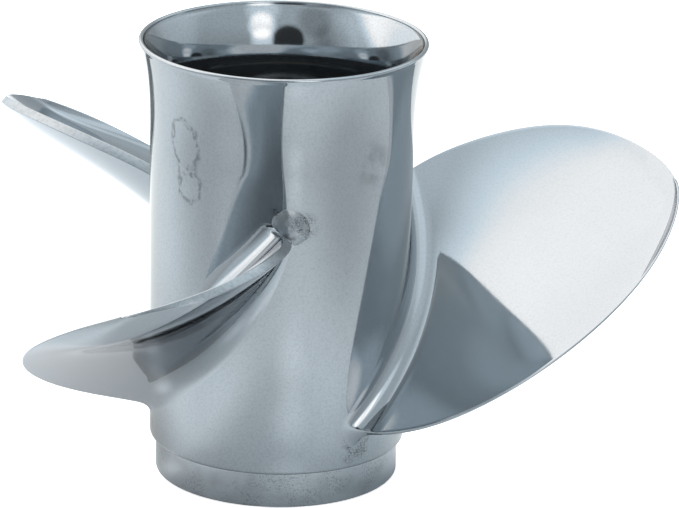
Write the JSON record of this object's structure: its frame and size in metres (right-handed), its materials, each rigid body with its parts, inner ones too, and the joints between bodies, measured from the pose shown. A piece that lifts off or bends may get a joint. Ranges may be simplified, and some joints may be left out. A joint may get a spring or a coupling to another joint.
{
  "type": "outboard boat propeller",
  "caption": "Polished stainless outboard boat propeller with broad raked blades on a flared barrel that lets exhaust through its ribbed, splined hub.",
  "frame": {"origin": "on the shaft axis, at the centroid of the solids", "axes": "+Z along the shaft axis, from the forward end towards the flared aft end, so a right-hand screw turns clockwise seen from +Z when it drives the boat ahead"},
  "size_m": [0.3015, 0.3164, 0.1957],
  "materials": {
    "polished_steel": "polished, with light wear",
    "blade_steel": "polished, with ground edges",
    "machined_steel": "turned, dull",
    "cast_steel": "as cast",
    "rubber": "matt",
    "bronze": "machined bronze"
  },
  "bodies": {
    "root": {"barrel": "polished_steel", "forward_ring": "machined_steel", "inner_hub": "cast_steel", "rib_1": "cast_steel", "rib_2": "cast_steel", "rib_3": "cast_steel", "rubber_bushing": "rubber", "splined_sleeve": "bronze", "blade_1": "blade_steel", "blade_2": "blade_steel", "blade_3": "blade_steel"}
  },
  "joints": []
}
